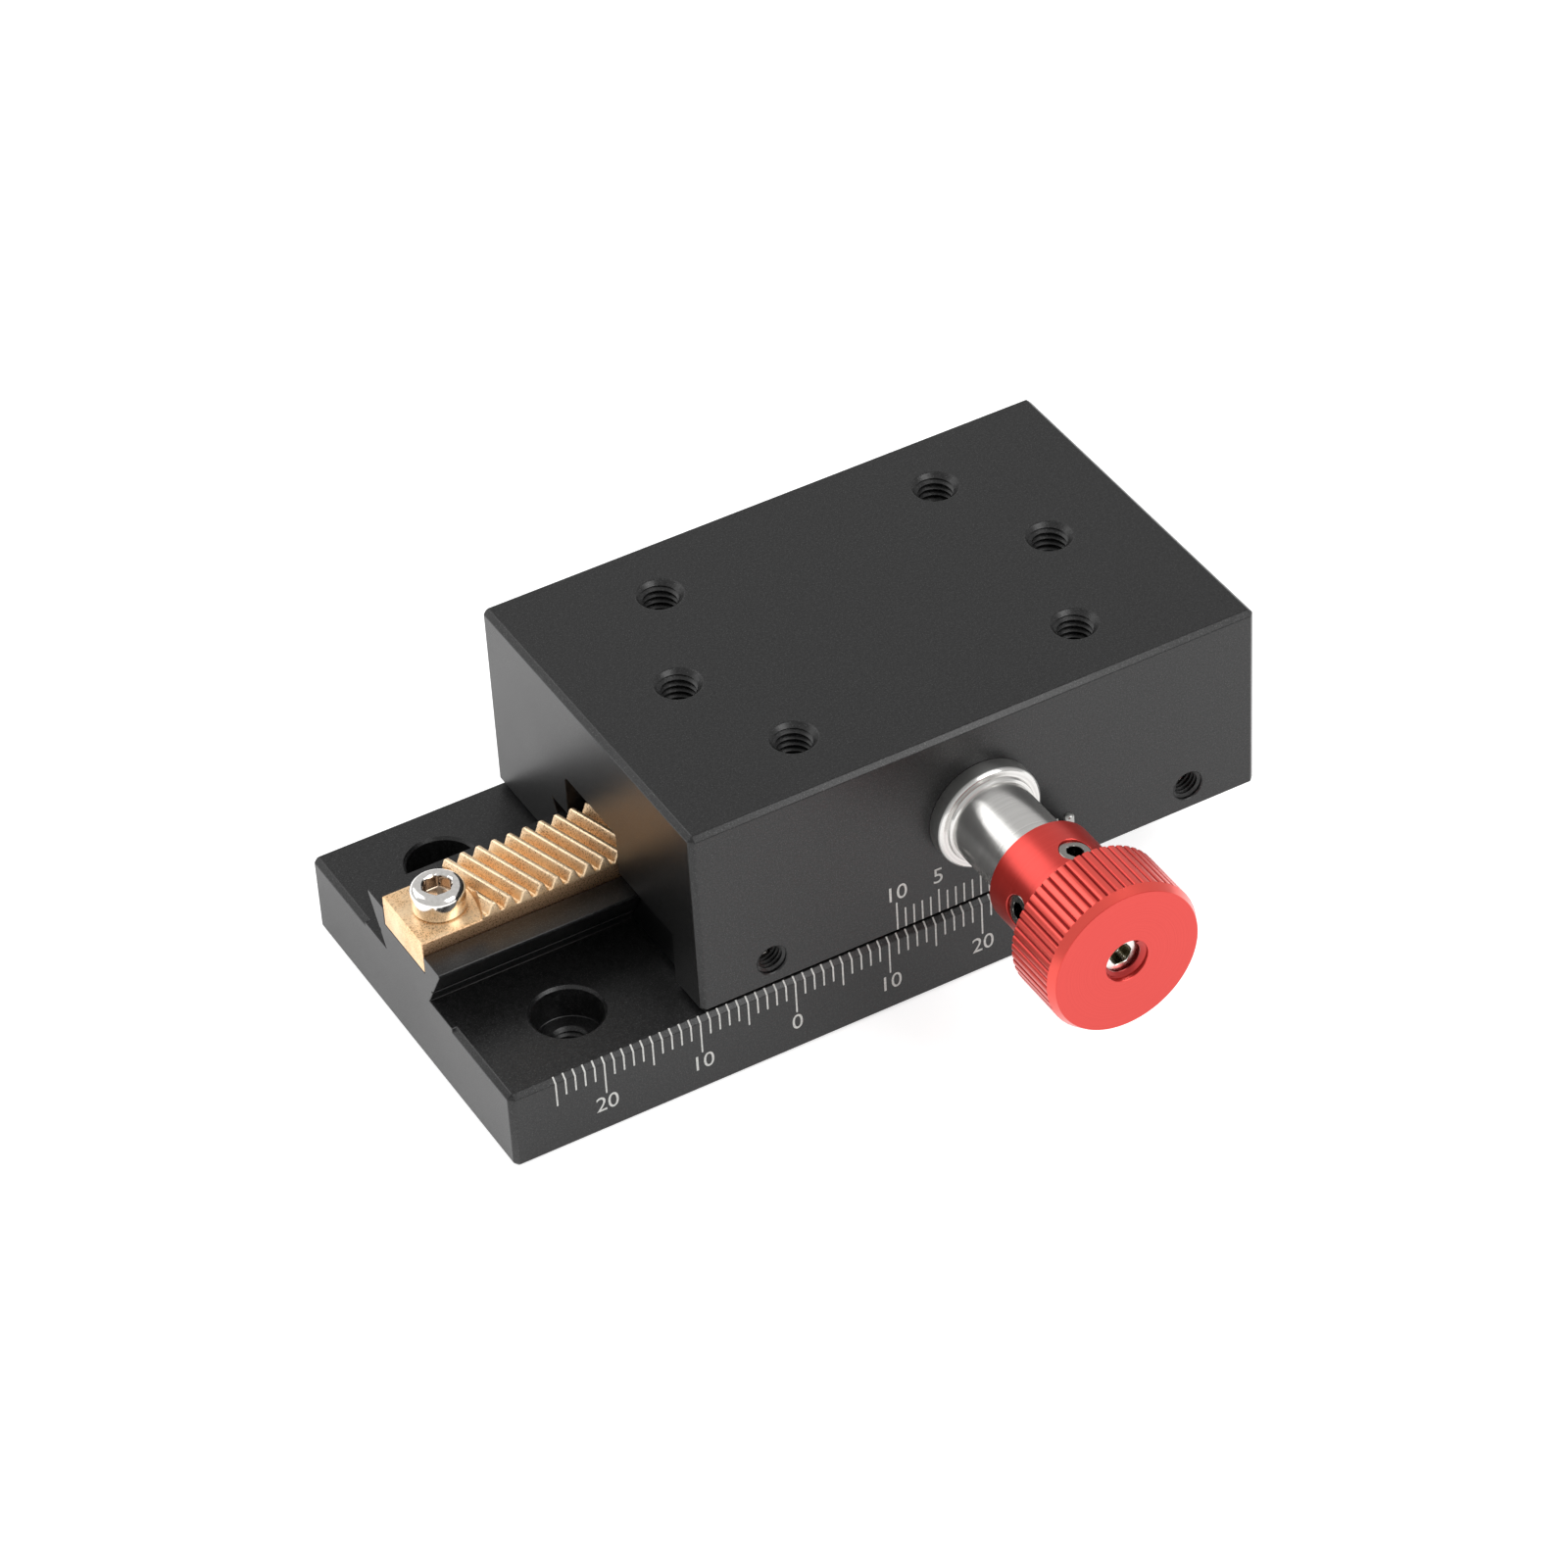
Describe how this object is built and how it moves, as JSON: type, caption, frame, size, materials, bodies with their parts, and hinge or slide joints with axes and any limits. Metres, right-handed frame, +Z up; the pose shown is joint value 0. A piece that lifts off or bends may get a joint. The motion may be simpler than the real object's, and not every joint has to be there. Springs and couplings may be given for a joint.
{
  "type": "dovetail slide",
  "caption": "Manual linear slide: a table on a dovetail rail, driven by a helical rack and pinion from a red knob, with gib, lock screw and millimetre scale.",
  "frame": {"origin": "centre of the base's underside", "axes": "+X along the travel, +Y to the back, away from the knob, +Z up; the table stands 20 mm towards +X, the end of its travel that the picture shows"},
  "size_m": [0.08, 0.065, 0.03],
  "materials": {
    "black_anodised": "satin black anodised over a fine blasted grain",
    "rack_brass": "milled brass, bright tooth flanks",
    "screw_chrome": "bright plated socket screws",
    "gib_steel": "ground and blacked steel",
    "set_screw_steel": "plain steel socket set screws",
    "turned_steel": "turned stainless steel, fine lathe lines",
    "shaft_steel": "ground steel",
    "bush_bronze": "sintered bronze",
    "red_anodised": "bright red anodised"
  },
  "bodies": {
    "base": {"base": "black_anodised", "rack": "rack_brass", "rack_screw_left": "screw_chrome", "rack_screw_right": "screw_chrome"},
    "table": {"table": "black_anodised", "gib": "gib_steel", "gib_screw_left": "set_screw_steel", "gib_screw_right": "set_screw_steel", "pinion_bush": "turned_steel", "rear_bush": "bush_bronze", "bush_lock_screw": "set_screw_steel", "front_thrust_washer": "shaft_steel", "rear_thrust_washer": "shaft_steel", "disc_spring": "shaft_steel"},
    "knob": {"pinion_shaft": "shaft_steel", "knob": "red_anodised", "knob_set_screw_top": "set_screw_steel", "knob_set_screw_side": "set_screw_steel", "knob_end_screw": "screw_chrome"},
    "lock": {"lock_screw": "turned_steel", "lock_bar": "turned_steel"}
  },
  "joints": [
    {"name": "table_slide", "type": "slide", "parent": "base", "child": "table", "axis": [1, 0, 0], "range_m": [-0.04, 0]},
    {"name": "knob_turn", "type": "hinge", "parent": "table", "child": "knob", "pos_m": [0.02, 0, 0.0199], "axis": [0, 1, 0], "range_deg": [-673.29, 0]},
    {"name": "lock_turn", "type": "hinge", "parent": "table", "child": "lock", "pos_m": [0.028, -0.02, 0.0122], "axis": [0, 1, 0], "range_deg": [0, 90]}
  ],
  "couplings": [
    {"joint": "knob_turn", "follows": "table_slide", "rad_per_m": 293.77}
  ]
}
